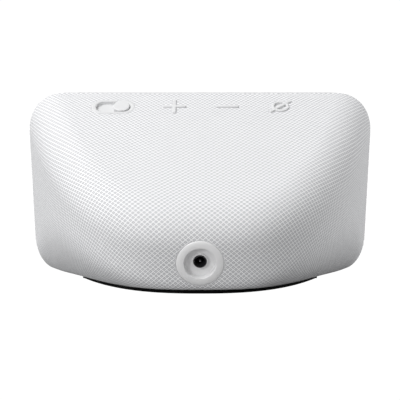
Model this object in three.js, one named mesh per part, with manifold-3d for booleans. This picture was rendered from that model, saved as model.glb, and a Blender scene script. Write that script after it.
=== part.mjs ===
// Tabletop smart display speaker: a tilted screen in front of a fabric-covered, D-shaped back.
// Millimetres, +Z up. The screen faces -Y, the fabric back faces +Y, and +X is the viewer's right
// when looking at the screen. The origin is the bottom centre of the bounding box.

import * as THREE from 'three';
import { mergeVertices } from 'three/addons/utils/BufferGeometryUtils.js';
import Module from 'manifold-3d';

const wasm = await Module();
wasm.setup();

// ---------- driving dimensions ----------

const WIDTH = 148;
const HEIGHT = 82;
const TILT = THREE.MathUtils.degToRad(20);
const SLOPE = THREE.MathUtils.degToRad(39);
const FRAME_BOTTOM_Z = 3.3;
const FRAME_LENGTH = (HEIGHT - FRAME_BOTTOM_Z) / Math.cos(TILT);
const FRAME_DEPTH = 2.2;
const FRAME_CORNER = 19;
const FRAME_WALL = 2.2;
const GAP = 0.3;

const BODY_START = FRAME_DEPTH + GAP;
const BODY_HALF_WIDTH = 74;
const BODY_TOP = FRAME_LENGTH - 0.9;
const SLOPE_START = 5;
const BODY_DEPTH = 80.2;
const BODY_BOTTOM = 0.5;
const SHOULDER_RADIUS = 17.5;
const NOSE_SHOULDER_RADIUS = 12.5;
const NOSE_RADIUS = 6;
const BELLY_RADIUS = 31;
const CORNER_EXPONENT = 2.35;
const UNDERSIDE_Z = 0.6;
const BELLY_Z = -0.8;
const FABRIC_THICKNESS = 0.8;
const HOUSING_THICKNESS = 2;

const BASE_HALF_WIDTH = 52.5;
const BASE_FRONT = 9;
const BASE_REAR = 78.6;
const FOOT_THICKNESS = 1.3;

const PORT_S = 39;
const PORT_RADIUS = 9.15;
const RECESS_RADIUS = 6.25;
const RECESS_DEPTH = 2.6;
const JACK_RADIUS = 2.55;

const CONTROL_ROW = 7.1;
const SHUTTER_X = 36.7;
const SHUTTER_TRAVEL = 7;
const VOLUME_UP_X = 10.8;
const VOLUME_DOWN_X = -11.5;
const MUTE_X = -33.9;
const GLYPH_LENGTH = 9.5;
const GLYPH_STROKE = 1.35;
const MUTE_RADIUS = 3.65;
const SLASH_LENGTH = 12;
const SLASH_ANGLE = THREE.MathUtils.degToRad(41);
const KEY_PROUD = 0.6;

const CAMERA_X = 57;
const CAMERA_S = 75.8;
const LCD_S = 39.5;
const SPEAKER_ROW = 40;
const FLEX_S = 9.2;

// ---------- materials ----------

function paint(color, roughness, metalness = 0) {
  return () => new THREE.MeshStandardMaterial({ color, roughness, metalness });
}

const fabricCloth = paint(0xe9eaec, 0.95);
const lightPlastic = paint(0xe4e5e7, 0.5);
const housingPlastic = paint(0xd9dadc, 0.6);
const blackPlastic = paint(0x17181a, 0.55);
const blackRubber = paint(0x0c0c0d, 0.85);
const blackGlass = paint(0x08090b, 0.08);
const screenPanel = paint(0x14161b, 0.3);
const steel = paint(0xb4b6b9, 0.35, 1);
const aluminium = paint(0xc6c8cb, 0.4, 1);
const boardGreen = paint(0x1f5a3a, 0.55);
const foamGasket = paint(0x222325, 0.95);
const conePaper = paint(0x202124, 0.9);
const spiderCloth = paint(0xb98b45, 0.9);
const copper = paint(0xb87342, 0.35, 1);
const flexFilm = paint(0xb06a1f, 0.5);
const lensGlass = paint(0x101522, 0.05);

// ---------- coordinate frames ----------

// Screen frame: x sideways, s up the screen face, w straight back from it.
const screenUp = new THREE.Vector3(0, Math.sin(TILT), Math.cos(TILT));
const screenBack = new THREE.Vector3(0, Math.cos(TILT), -Math.sin(TILT));
const slopeDown = new THREE.Vector3(0, Math.cos(SLOPE), -Math.sin(SLOPE));
const slopeOut = new THREE.Vector3(0, Math.sin(SLOPE), Math.cos(SLOPE));
const sideways = new THREE.Vector3(1, 0, 0);

function fromScreen(x, s, w) {
  return new THREE.Vector3(x, 0, FRAME_BOTTOM_Z).addScaledVector(screenUp, s).addScaledVector(screenBack, w);
}

function frameGroup(xAxis, yAxis, zAxis, origin) {
  const group = new THREE.Group();
  group.setRotationFromMatrix(new THREE.Matrix4().makeBasis(xAxis, yAxis, zAxis));
  group.position.copy(origin);
  group.updateMatrixWorld(true);
  return group;
}

// Local axes are x, up the screen, out of the screen.
const screenGroup = frameGroup(sideways, screenUp, screenBack.clone().negate(), fromScreen(0, 0, 0));
// Local axes are x, down the slope from near its top edge, out of the slope.
const slopeGroup = frameGroup(sideways, slopeDown, slopeOut, fromScreen(0, BODY_TOP, SLOPE_START));
// Local axes are -x, up the screen, out of the back; the origin is where the nose is deepest.
const portGroup = frameGroup(sideways.clone().negate(), screenUp, screenBack, fromScreen(0, PORT_S, BODY_DEPTH));
const uprightGroup = new THREE.Group();

function add(group, name, geometry, material) {
  const mesh = new THREE.Mesh(geometry, material());
  mesh.name = name;
  group.add(mesh);
}

// ---------- booleans ----------

function toManifold(geometry) {
  const bare = new THREE.BufferGeometry();
  bare.setAttribute('position', geometry.getAttribute('position'));
  if (geometry.index) bare.setIndex(geometry.index);
  const merged = mergeVertices(bare, 1e-4);
  const triangles = [];
  for (let i = 0; i < merged.index.count; i += 3) {
    const [a, b, c] = [0, 1, 2].map((k) => merged.index.getX(i + k));
    if (a !== b && b !== c && c !== a) triangles.push(a, b, c);
  }
  const vertProperties = new Float32Array(merged.getAttribute('position').array);
  return new wasm.Manifold(new wasm.Mesh({ numProp: 3, vertProperties, triVerts: new Uint32Array(triangles) }));
}

function toGeometry(manifold) {
  const mesh = manifold.getMesh();
  const geometry = new THREE.BufferGeometry();
  geometry.setAttribute('position', new THREE.BufferAttribute(new Float32Array(mesh.vertProperties), 3));
  geometry.setIndex(new THREE.BufferAttribute(new Uint32Array(mesh.triVerts), 1));
  const facets = geometry.toNonIndexed();
  facets.computeVertexNormals();
  return facets;
}

function cut(geometry, ...tools) {
  return toGeometry(tools.reduce((rest, tool) => rest.subtract(toManifold(tool)), toManifold(geometry)));
}

function join(geometry, ...others) {
  return toGeometry(others.reduce((all, other) => all.add(toManifold(other)), toManifold(geometry)));
}

// ---------- basic shapes ----------

function box(x0, x1, y0, y1, z0, z1) {
  const geometry = new THREE.BoxGeometry(x1 - x0, y1 - y0, z1 - z0);
  return geometry.translate((x0 + x1) / 2, (y0 + y1) / 2, (z0 + z1) / 2);
}

function rod(radius, x, y, z0, z1, segments = 16) {
  const geometry = new THREE.CylinderGeometry(radius, radius, z1 - z0, segments);
  return geometry.rotateX(Math.PI / 2).translate(x, y, (z0 + z1) / 2);
}

function prism(shape, z0, z1, curveSegments = 12) {
  const geometry = new THREE.ExtrudeGeometry(shape, { depth: z1 - z0, bevelEnabled: false, curveSegments });
  return geometry.translate(0, 0, z0);
}

// A body of revolution about the local z axis; the profile holds [radius, z] pairs.
function turned(profile, segments = 28) {
  const points = profile.map(([radius, z]) => new THREE.Vector2(radius, z));
  return new THREE.LatheGeometry(points, segments).rotateX(Math.PI / 2);
}

// A ring of revolution whose profile closes on itself, listed against the clock.
function turnedRing(profile, segments = 28) {
  return turned([...profile, profile[0]], segments);
}

function stadium(length, height, x = 0, y = 0) {
  const radius = height / 2;
  const reach = length / 2 - radius;
  const shape = new THREE.Shape();
  shape.absarc(x + reach, y, radius, -Math.PI / 2, Math.PI / 2, false);
  shape.absarc(x - reach, y, radius, Math.PI / 2, Math.PI * 1.5, false);
  shape.closePath();
  return shape;
}

// The screen outline, pulled in by an inset all round; its corners are slightly squarer than arcs.
function screenOutline(inset, cornerSegments = 10, path = new THREE.Shape()) {
  const radius = FRAME_CORNER - inset;
  const halfWidth = WIDTH / 2 - inset - radius;
  const halfLength = FRAME_LENGTH / 2 - inset - radius;
  const points = [];
  for (let corner = 0; corner < 4; corner += 1) {
    const sx = corner === 0 || corner === 3 ? 1 : -1;
    const sy = corner < 2 ? 1 : -1;
    for (let i = 0; i <= cornerSegments; i += 1) {
      const angle = (corner + i / cornerSegments) * Math.PI / 2;
      const cx = Math.abs(Math.cos(angle)) ** (2 / CORNER_EXPONENT);
      const cy = Math.abs(Math.sin(angle)) ** (2 / CORNER_EXPONENT);
      points.push(new THREE.Vector2(sx * (halfWidth + radius * cx), FRAME_LENGTH / 2 + sy * (halfLength + radius * cy)));
    }
  }
  return path.setFromPoints(points);
}

// The D-shaped base outline, pulled in by an inset: straight in front, bullet-shaped behind.
function baseOutline(inset, segments = 14, path = new THREE.Shape()) {
  const halfWidth = BASE_HALF_WIDTH - inset;
  const rear = BASE_REAR - inset;
  const front = BASE_FRONT + inset;
  const corner = Math.max(3 - inset, 0.5);
  const points = [new THREE.Vector2(-halfWidth + corner, front), new THREE.Vector2(halfWidth - corner, front)];
  for (let i = 0; i <= 2 * segments; i += 1) {
    const t = 1 - i / segments;
    const x = halfWidth * Math.sign(t) * Math.abs(t) ** 0.8;
    const y = rear - (rear - front) * Math.abs(x / halfWidth) ** 2.5;
    points.push(new THREE.Vector2(x, Math.max(y, front + corner * 0.8)));
  }
  const merged = points.filter((point, i) => i === 0 || point.distanceTo(points[i - 1]) > 0.05);
  return path.setFromPoints(merged);
}

// ---------- the rear body surface ----------

const NOSE_REACH = BODY_DEPTH - FRAME_DEPTH;

// 0 at the back of the screen frame, 1 at the nose.
function backShare(w) {
  return THREE.MathUtils.clamp((w - FRAME_DEPTH) / NOSE_REACH, 0, 1);
}

function bellyRadius(w) {
  const q = backShare(w);
  return NOSE_RADIUS + (BELLY_RADIUS - NOSE_RADIUS) * (1 - q ** 4) * (1 - 0.75 * (1 - q) ** 6);
}

function shoulderRadius(w) {
  return THREE.MathUtils.lerp(SHOULDER_RADIUS, NOSE_SHOULDER_RADIUS, backShare(w) ** 2);
}

// 1 on a wall, falling to 0 at the rounding radius inside it.
function closeness(depth, radius) {
  return Math.max(0, 1 - depth / radius) ** CORNER_EXPONENT;
}

// A point is inside the body while its closeness to all the walls sums to less than 1.
function bodyLevel(x, s, w) {
  const z = fromScreen(x, s, w).z;
  const share = Math.abs(x) / BODY_HALF_WIDTH;
  const wallSlope = 3 * NOSE_REACH / BODY_HALF_WIDTH * share ** 2;
  const wall = (BODY_DEPTH - NOSE_REACH * share ** 3 - w) / Math.hypot(1, wallSlope);
  const drop = SLOPE - TILT;
  const top = (BODY_TOP - (w - SLOPE_START) * Math.tan(drop) - s) * Math.cos(drop);
  const belly = bellyRadius(w);
  const shoulder = shoulderRadius(w);
  const below = (closeness(s - BODY_BOTTOM, SHOULDER_RADIUS) ** 4 + closeness(z - BELLY_Z, belly) ** 4) ** 0.25;
  const upperShare = THREE.MathUtils.smoothstep(s, PORT_S - 15, PORT_S + 15);
  const beside = closeness(wall, THREE.MathUtils.lerp(belly, shoulder, upperShare));
  return closeness(top, shoulder) + below + beside + closeness(z - UNDERSIDE_Z, 2);
}

// Casts a ray from the middle of the front opening; theta turns about the port axis, phi opens from it.
function bodyPoint(theta, phi, inset) {
  const direction = [Math.sin(phi) * Math.cos(theta), Math.sin(phi) * Math.sin(theta), Math.cos(phi)];
  const at = (r) => [r * direction[0], PORT_S + r * direction[1], BODY_START + r * direction[2]];
  let near = 0;
  let far = 140;
  for (let i = 0; i < 40; i += 1) {
    const middle = (near + far) / 2;
    if (bodyLevel(...at(middle)) < 1) near = middle;
    else far = middle;
  }
  const point = at(near);
  const step = 0.02;
  const gradient = [0, 1, 2].map((axis) => {
    const ahead = [...point];
    const behind = [...point];
    ahead[axis] += step;
    behind[axis] -= step;
    return bodyLevel(...ahead) - bodyLevel(...behind);
  });
  const onRim = phi > Math.PI / 2 - 1e-6;
  if (onRim) gradient[2] = 0;
  const length = Math.hypot(...gradient);
  return fromScreen(...point.map((value, axis) => value - inset * gradient[axis] / length));
}

// A cup between two insets of the body surface, open at the front.
function bodyShell(outerInset, innerInset, rings = 13, spokes = 72) {
  const positions = [];
  const index = [];
  const layer = (inset) => {
    const start = positions.length / 3;
    positions.push(...bodyPoint(0, 0, inset).toArray());
    for (let ring = 1; ring <= rings; ring += 1) {
      const phi = Math.PI / 2 * (ring / rings) ** 1.35;
      for (let spoke = 0; spoke < spokes; spoke += 1) {
        positions.push(...bodyPoint(spoke / spokes * Math.PI * 2, phi, inset).toArray());
      }
    }
    return start;
  };
  const vertex = (start, ring, spoke) => (ring === 0 ? start : start + 1 + (ring - 1) * spokes + spoke % spokes);
  const outer = layer(outerInset);
  const inner = layer(innerInset);
  const quad = (a, b, c, d) => index.push(a, b, c, a, c, d);
  for (let spoke = 0; spoke < spokes; spoke += 1) {
    index.push(outer, vertex(outer, 1, spoke + 1), vertex(outer, 1, spoke));
    index.push(inner, vertex(inner, 1, spoke), vertex(inner, 1, spoke + 1));
    for (let ring = 1; ring < rings; ring += 1) {
      const [a, b] = [ring, ring + 1];
      quad(vertex(outer, a, spoke), vertex(outer, a, spoke + 1), vertex(outer, b, spoke + 1), vertex(outer, b, spoke));
      quad(vertex(inner, a, spoke), vertex(inner, b, spoke), vertex(inner, b, spoke + 1), vertex(inner, a, spoke + 1));
    }
    quad(vertex(outer, rings, spoke), vertex(outer, rings, spoke + 1), vertex(inner, rings, spoke + 1), vertex(inner, rings, spoke));
  }
  const geometry = new THREE.BufferGeometry();
  geometry.setAttribute('position', new THREE.Float32BufferAttribute(positions, 3));
  geometry.setIndex(index);
  return geometry;
}

// ---------- key outlines, shared by the keys and the holes that they stand in ----------

function plusSolid(x, margin, z0, z1) {
  const half = GLYPH_LENGTH / 2 + margin;
  const stroke = GLYPH_STROKE / 2 + margin;
  const across = box(x - half, x + half, CONTROL_ROW - stroke, CONTROL_ROW + stroke, z0, z1);
  const along = box(x - stroke, x + stroke, CONTROL_ROW - half, CONTROL_ROW + half, z0, z1);
  return join(across, along);
}

function minusSolid(x, margin, z0, z1) {
  const half = GLYPH_LENGTH / 2 + margin;
  const stroke = GLYPH_STROKE / 2 + margin;
  return box(x - half, x + half, CONTROL_ROW - stroke, CONTROL_ROW + stroke, z0, z1);
}

function slashSolid(x, margin, z0, z1) {
  const half = SLASH_LENGTH / 2 + margin;
  const stroke = GLYPH_STROKE / 2 + margin;
  const slash = box(-half, half, -stroke, stroke, z0, z1);
  return slash.rotateZ(SLASH_ANGLE).translate(x, CONTROL_ROW, 0);
}

function muteSolid(x, margin, z0, z1) {
  return join(rod(MUTE_RADIUS + margin, x, CONTROL_ROW, z0, z1, 32), slashSolid(x, margin, z0, z1));
}

// ---------- outer shells ----------

function controlCutters() {
  const reach = [-8, 6];
  const tools = [
    plusSolid(VOLUME_UP_X, GAP, ...reach),
    minusSolid(VOLUME_DOWN_X, GAP, ...reach),
    muteSolid(MUTE_X, GAP, ...reach),
    prism(stadium(18.2 + 2 * GAP, 9.2 + 2 * GAP, SHUTTER_X, CONTROL_ROW), ...reach),
  ];
  return tools.map((tool) => tool.applyMatrix4(slopeGroup.matrixWorld));
}

function portCutter() {
  return rod(PORT_RADIUS + GAP, 0, 0, -8, 6, 40).applyMatrix4(portGroup.matrixWorld);
}

function grilleCutters() {
  const tools = [];
  for (const [radius, count] of [[0, 1], [10.5, 6]]) {
    for (let i = 0; i < count; i += 1) {
      const angle = i / count * Math.PI * 2;
      const x = radius * Math.cos(angle);
      const y = SPEAKER_ROW + radius * Math.sin(angle);
      tools.push(rod(3.6, x, y, -6, 3, 12));
    }
  }
  return tools.map((tool) => tool.applyMatrix4(slopeGroup.matrixWorld));
}

const BASE_SCREWS = [[-20, 66], [20, 66], [-44, 16], [44, 16]];
const LEDGE_Z = 4.8;

function fabricCover() {
  const opening = prism(baseOutline(2.3), -3, 8);
  return cut(bodyShell(0, FABRIC_THICKNESS), portCutter(), opening, ...controlCutters());
}

function rearHousing() {
  const outer = FABRIC_THICKNESS + GAP;
  const shell = bodyShell(outer, outer + HOUSING_THICKNESS);
  const opened = cut(shell, portCutter(), prism(baseOutline(2.3), -3, 8), ...controlCutters(), ...grilleCutters());
  const ledgeShape = baseOutline(0.8);
  ledgeShape.holes.push(baseOutline(9, 14, new THREE.Path()));
  const ledge = cut(prism(ledgeShape, LEDGE_Z, 6.8), ...BASE_SCREWS.map(([x, y]) => rod(1.1, x, y, 0, 9, 12)));
  return join(opened, ledge);
}

function basePlate() {
  const holes = BASE_SCREWS.flatMap(([x, y]) => [rod(1.1, x, y, 0, 9, 12), rod(2.3, x, y, 0, 2.9, 16)]);
  return cut(prism(baseOutline(2.6), FOOT_THICKNESS + GAP, LEDGE_Z - GAP), ...holes);
}

function rubberFoot() {
  return prism(baseOutline(0), 0, FOOT_THICKNESS);
}

function frontFrame() {
  const shape = screenOutline(0.6, 8);
  shape.holes.push(screenOutline(FRAME_WALL - 0.6, 8, new THREE.Path()));
  const options = { depth: FRAME_DEPTH - 1.2, bevelThickness: 0.6, bevelSize: 0.6, bevelSegments: 2 };
  return new THREE.ExtrudeGeometry(shape, options).translate(0, 0, 0.6 - FRAME_DEPTH);
}

function coverGlass() {
  return prism(screenOutline(FRAME_WALL + GAP, 8), -1.8, -0.5);
}

function portRing() {
  const back = -5;
  const face = 0.35;
  const floor = face - RECESS_DEPTH;
  return turnedRing([
    [JACK_RADIUS + GAP, back],
    [PORT_RADIUS, back],
    [PORT_RADIUS, face - 1.6],
    [PORT_RADIUS - 0.45, face - 0.5],
    [PORT_RADIUS - 1.1, face],
    [RECESS_RADIUS, face],
    [RECESS_RADIUS - 0.75, floor],
    [JACK_RADIUS + GAP, floor],
  ], 40);
}

function powerJack() {
  const nose = 0.35 - RECESS_DEPTH + 0.1;
  const body = join(box(-4.5, 4.5, -5.5, 5.5, -17, -5.3), rod(JACK_RADIUS, 0, 0, -6, nose, 28));
  return cut(body, rod(1.95, 0, 0, -13, nose + 1, 24));
}

function jackPin() {
  return join(rod(0.5, 0, 0, -12.4, -2.9, 14), rod(1.2, 0, 0, -12.7, -12, 14));
}

// ---------- controls on the slope ----------

const KNOB_RADIUS = 3.4;
const KNOB_X = SHUTTER_X - SHUTTER_TRAVEL / 2;
const SLOT_ROW = CONTROL_ROW + 2.4;

// The tray's slot is off to its lower side, where the raised rim hides it from most sides.
function shutterTrim() {
  const tray = prism(stadium(18.2, 9.2, SHUTTER_X, CONTROL_ROW), -2.4, 0.4);
  const recess = prism(stadium(15.1, 7.3, SHUTTER_X, CONTROL_ROW), -1.7, 2);
  const slot = box(SHUTTER_X - 4.9, SHUTTER_X + 4.9, SLOT_ROW - 0.7, SLOT_ROW + 0.7, -4, 2);
  return cut(tray, recess, slot);
}

function shutterKnob() {
  const puck = turned([[0, -1.5], [KNOB_RADIUS, -1.5], [KNOB_RADIUS, 0.3], [KNOB_RADIUS - 0.4, 0.7], [0, 0.7]], 32);
  puck.translate(KNOB_X, CONTROL_ROW, 0);
  return join(puck, box(KNOB_X - 0.9, KNOB_X + 0.9, SLOT_ROW - 0.45, SLOT_ROW + 0.45, -4.4, 0));
}

const PAD_TOP = -3.5;
const PAD_BOTTOM = -4.6;

function keyPad(x, halfWidth) {
  return box(x - halfWidth, x + halfWidth, CONTROL_ROW - 5.6, CONTROL_ROW + 5.6, PAD_BOTTOM, PAD_TOP);
}

function muteKey() {
  const disc = rod(MUTE_RADIUS, MUTE_X, CONTROL_ROW, PAD_TOP - 0.5, 0, 32);
  const ring = cut(
    rod(MUTE_RADIUS, MUTE_X, CONTROL_ROW, -1, KEY_PROUD, 32),
    rod(MUTE_RADIUS - 1.1, MUTE_X, CONTROL_ROW, -2, 2, 32),
  );
  const slash = slashSolid(MUTE_X, 0, PAD_TOP - 0.5, KEY_PROUD);
  return join(disc, ring, slash, keyPad(MUTE_X, 5.6));
}

const SWITCH_TOP = -5.9;

function tactSwitch(x) {
  const body = box(x - 2.4, x + 2.4, CONTROL_ROW - 2.4, CONTROL_ROW + 2.4, SWITCH_TOP - 1.6, SWITCH_TOP);
  return cut(body, rod(1.2, x, CONTROL_ROW, SWITCH_TOP - 1.1, 0, 16));
}

function switchPlunger(x) {
  return rod(0.95, x, CONTROL_ROW, SWITCH_TOP - 0.4, PAD_BOTTOM - 0.1, 16);
}

function addControls() {
  add(slopeGroup, 'shutter_trim', shutterTrim(), lightPlastic);
  add(slopeGroup, 'shutter_knob', shutterKnob(), lightPlastic);
  const plus = plusSolid(VOLUME_UP_X, 0, PAD_TOP - 0.5, KEY_PROUD);
  const minus = minusSolid(VOLUME_DOWN_X, 0, PAD_TOP - 0.5, KEY_PROUD);
  add(slopeGroup, 'volume_up_key', join(plus, keyPad(VOLUME_UP_X, 5.6)), lightPlastic);
  add(slopeGroup, 'volume_down_key', join(minus, keyPad(VOLUME_DOWN_X, 5.6)), lightPlastic);
  add(slopeGroup, 'mute_key', muteKey(), lightPlastic);
  const keys = { volume_up: VOLUME_UP_X, volume_down: VOLUME_DOWN_X, mute: MUTE_X };
  for (const [name, x] of Object.entries(keys)) {
    add(slopeGroup, `${name}_switch`, tactSwitch(x), blackPlastic);
    add(slopeGroup, `${name}_plunger`, switchPlunger(x), steel);
  }
  const boardTop = SWITCH_TOP - 1.7;
  add(slopeGroup, 'button_board', box(-44, 21, 3.5, 13, boardTop - 1, boardTop), boardGreen);
  ['left', 'centre', 'right'].forEach((side, i) => {
    const x = [-42, -22.7, 0][i];
    add(slopeGroup, `microphone_${side}`, box(x - 1.4, x + 1.4, 9, 12.5, boardTop + 0.1, boardTop + 1.1), steel);
  });
}

// ---------- screen side ----------

function addScreenStack() {
  add(screenGroup, 'front_frame', frontFrame(), lightPlastic);
  add(screenGroup, 'cover_glass', coverGlass(), blackGlass);
  const gasket = screenOutline(FRAME_WALL + 1, 8);
  gasket.holes.push(screenOutline(FRAME_WALL + 1.9, 8, new THREE.Path()));
  add(screenGroup, 'display_gasket', prism(gasket, -2.5, -2), foamGasket);
  add(screenGroup, 'lcd_panel', box(-63, 63, LCD_S - 33, LCD_S + 33, -4.4, -2), screenPanel);
  const tray = box(-63, 63, LCD_S - 31.5, LCD_S + 32.5, -5.7, -4.7);
  add(screenGroup, 'display_tray', cut(tray, box(9, 31, FLEX_S - 0.6, FLEX_S + 0.9, -7, -4)), steel);
  add(screenGroup, 'light_sensor', box(-51.5, -48.5, CAMERA_S - 1, CAMERA_S + 1, -3.1, -2.2), blackPlastic);
  const cameraBarrel = rod(2.9, CAMERA_X, CAMERA_S, -5.2, -2.8, 28);
  const lensSeat = rod(1.6, CAMERA_X, CAMERA_S, -4.2, 0, 24);
  add(screenGroup, 'camera_module', cut(cameraBarrel, lensSeat), blackPlastic);
  add(screenGroup, 'camera_lens', rod(1.3, CAMERA_X, CAMERA_S, -4, -3, 24), lensGlass);
}

function addShutterLink() {
  const bladeX = CAMERA_X - SHUTTER_TRAVEL;
  const blade = box(bladeX - 3.8, bladeX + 3.8, CAMERA_S - 2.6, CAMERA_S + 2.6, -2.5, -2.1);
  add(screenGroup, 'shutter_blade', blade, blackPlastic);
  const arm = box(KNOB_X - 1.6, bladeX - 3.2, CAMERA_S - 0.9, CAMERA_S + 0.9, -4, -2.8);
  const reach = box(KNOB_X - 1.6, KNOB_X + 1.6, CAMERA_S - 0.9, CAMERA_S + 0.9, -11.6, -3);
  add(screenGroup, 'shutter_link', join(arm, reach), blackPlastic);
}

// ---------- electronics ----------

const BOARD_SCREWS = [[-52, 15], [52, 15], [-52, 57], [52, 57]];

function boardScrew(x, s) {
  return join(rod(1.9, x, s, -10.6, -9.4, 16), rod(0.9, x, s, -10, -6, 12));
}

function baseScrew(x, y) {
  return join(rod(1.9, x, y, 1.6, 2.7, 16), rod(0.8, x, y, 2.5, 8.5, 12));
}

function powerCable() {
  const stops = [[0, 36, 61.6], [-8, 29, 54], [-25, 22, 40], [-38, 20, 22], [-40, 20, 13.2]];
  const points = stops.map(([x, s, w]) => new THREE.Vector3(x, s, -w));
  const path = new THREE.CatmullRomCurve3(points);
  const section = new THREE.Shape().absarc(0, 0, 1.3, 0, Math.PI * 2);
  return new THREE.ExtrudeGeometry(section, { steps: 16, extrudePath: path, curveSegments: 4 });
}

// A thin ribbon that leaves the back of the panel, passes through the tray and lies on the board.
function displayFlex() {
  return join(box(10, 30, FLEX_S, FLEX_S + 0.3, -9.8, -4.6), box(10, 30, FLEX_S + 0.1, 14, -9.8, -9.5));
}

function addElectronics() {
  const holes = BOARD_SCREWS.map(([x, s]) => rod(1.2, x, s, -12, -4, 12));
  add(screenGroup, 'main_board', cut(box(-55, 55, 11, 61, -9.2, -8), ...holes), boardGreen);
  add(screenGroup, 'heat_spreader', box(-46, 46, 15, 57, -7.6, -6.2), aluminium);
  add(screenGroup, 'processor_shield', box(-12, 20, 24, 50, -11.9, -9.5), steel);
  add(screenGroup, 'radio_shield', box(26, 46, 28, 46, -11.5, -9.5), steel);
  BOARD_SCREWS.forEach(([x, s], i) => add(screenGroup, `board_screw_${i + 1}`, boardScrew(x, s), steel));
  BASE_SCREWS.forEach(([x, y], i) => add(uprightGroup, `base_screw_${i + 1}`, baseScrew(x, y), steel));
  add(screenGroup, 'power_cable', powerCable(), blackPlastic);
  add(screenGroup, 'antenna_left', box(-58.4, -58, 42, 62, -18, -10), flexFilm);
  add(screenGroup, 'antenna_right', box(58, 58.4, 42, 62, -18, -10), flexFilm);
  add(portGroup, 'power_jack', powerJack(), blackPlastic);
  add(portGroup, 'jack_pin', jackPin(), steel);
}

// ---------- speaker, turned about an axis square to the slope ----------

function domeArc(radius, base, rise, count) {
  return Array.from({ length: count + 1 }, (_, i) => {
    const t = i / count;
    return [radius * (1 - t), base + rise * (1 - (1 - t) ** 2)];
  });
}

function rollArc(inner, outer, base, rise, count) {
  return Array.from({ length: count + 1 }, (_, i) => {
    const angle = Math.PI * i / count;
    return [(inner + outer) / 2 + (outer - inner) / 2 * Math.cos(angle), base + rise * Math.sin(angle)];
  });
}

function addSpeaker() {
  const parts = {
    speaker_gasket: [turnedRing([[20.4, -4], [22.4, -4], [22.4, -3.4], [20.4, -3.4]]), foamGasket],
    speaker_basket: [turnedRing([
      [7.4, -13.2], [15.6, -13.2], [19.5, -5.2], [22.4, -5.2], [22.4, -4.2],
      [18.9, -4.2], [18.9, -5], [15.1, -12.4], [7.4, -12.4],
    ]), blackPlastic],
    speaker_magnet: [turned([
      [0, -20.8], [14, -20.8], [14, -13.5], [7.2, -13.5], [7.2, -18.8], [5.4, -18.8], [5.4, -12.8], [0, -12.8],
    ]), steel],
    voice_coil: [turnedRing([[5.9, -17.6], [6.5, -17.6], [6.5, -9.2], [5.9, -9.2]], 24), copper],
    spider: [turnedRing([[6.8, -11.4], [15.1, -11.4], [15.1, -11], [6.8, -11]], 24), spiderCloth],
    speaker_cone: [turnedRing([[6.8, -9.4], [16.2, -5.8], [16.2, -5.2], [6.8, -8.8]]), conePaper],
    surround: [turnedRing([...rollArc(16.5, 18.6, -5.4, 0.9, 4).reverse(), ...rollArc(16.5, 18.6, -4.9, 0.9, 4)], 28), blackRubber],
    dust_cap: [turned([...domeArc(6.5, -8.8, 1.4, 3).reverse(), ...domeArc(6.5, -8.4, 1.4, 3)], 24), conePaper],
    speaker_box: [turned([[0, -26], [23.4, -26], [23.4, -5.5], [21.9, -5.5], [21.9, -24.6], [0, -24.6]]), housingPlastic],
  };
  for (const [name, [geometry, material]] of Object.entries(parts)) {
    add(slopeGroup, name, geometry.translate(0, SPEAKER_ROW, 0), material);
  }
}

// ---------- assembly ----------

add(uprightGroup, 'fabric_cover', fabricCover(), fabricCloth);
add(uprightGroup, 'rear_housing', rearHousing(), housingPlastic);
add(uprightGroup, 'base_plate', basePlate(), blackPlastic);
add(uprightGroup, 'rubber_foot', rubberFoot(), blackRubber);
add(portGroup, 'port_ring', portRing(), lightPlastic);
add(screenGroup, 'display_flex', displayFlex(), flexFilm);
addScreenStack();
addShutterLink();
addControls();
addElectronics();
addSpeaker();

const device = new THREE.Group();
device.name = 'smart_display_speaker';
device.add(uprightGroup, screenGroup, slopeGroup, portGroup);
device.updateMatrixWorld(true);
const extent = new THREE.Box3().setFromObject(device, true);
device.position.set(0, -(extent.min.y + extent.max.y) / 2, -extent.min.z);
device.updateMatrixWorld(true);

export default device;
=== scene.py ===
"""Looks of the tabletop smart display speaker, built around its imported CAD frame.

The frame is +Z up, in metres: the screen faces -Y and the fabric back faces +Y. Shapes here are worked out in
millimetres from the device's driving dimensions and turned into metres when a mesh is made.
"""

import math

import bmesh
import bpy
import numpy as np
from mathutils import Matrix, Vector

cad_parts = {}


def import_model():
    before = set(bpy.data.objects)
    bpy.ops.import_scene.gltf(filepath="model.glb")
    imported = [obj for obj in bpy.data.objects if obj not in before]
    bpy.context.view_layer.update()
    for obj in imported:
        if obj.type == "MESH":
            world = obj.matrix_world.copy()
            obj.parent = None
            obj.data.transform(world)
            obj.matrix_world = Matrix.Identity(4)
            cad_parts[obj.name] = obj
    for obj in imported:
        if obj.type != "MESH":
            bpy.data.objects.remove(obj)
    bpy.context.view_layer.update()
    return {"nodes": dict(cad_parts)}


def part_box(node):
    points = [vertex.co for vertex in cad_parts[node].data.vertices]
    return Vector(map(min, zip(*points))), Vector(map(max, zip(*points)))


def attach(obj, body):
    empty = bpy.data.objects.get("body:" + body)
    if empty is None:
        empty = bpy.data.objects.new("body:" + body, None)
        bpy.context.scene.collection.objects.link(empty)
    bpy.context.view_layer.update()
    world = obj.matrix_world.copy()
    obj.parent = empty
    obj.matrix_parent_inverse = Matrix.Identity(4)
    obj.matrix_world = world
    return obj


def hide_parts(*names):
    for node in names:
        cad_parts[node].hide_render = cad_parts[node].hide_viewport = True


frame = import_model()

# ---------- driving dimensions, millimetres ----------

MM = 0.001
WIDTH = 148
TILT = math.radians(20)
SLOPE = math.radians(39)
FRAME_BOTTOM_Z = 3.3
FRAME_LENGTH = (82 - FRAME_BOTTOM_Z) / math.cos(TILT)
FRAME_DEPTH = 2.2
FRAME_CORNER = 19
FRAME_WALL = 2.2

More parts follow.
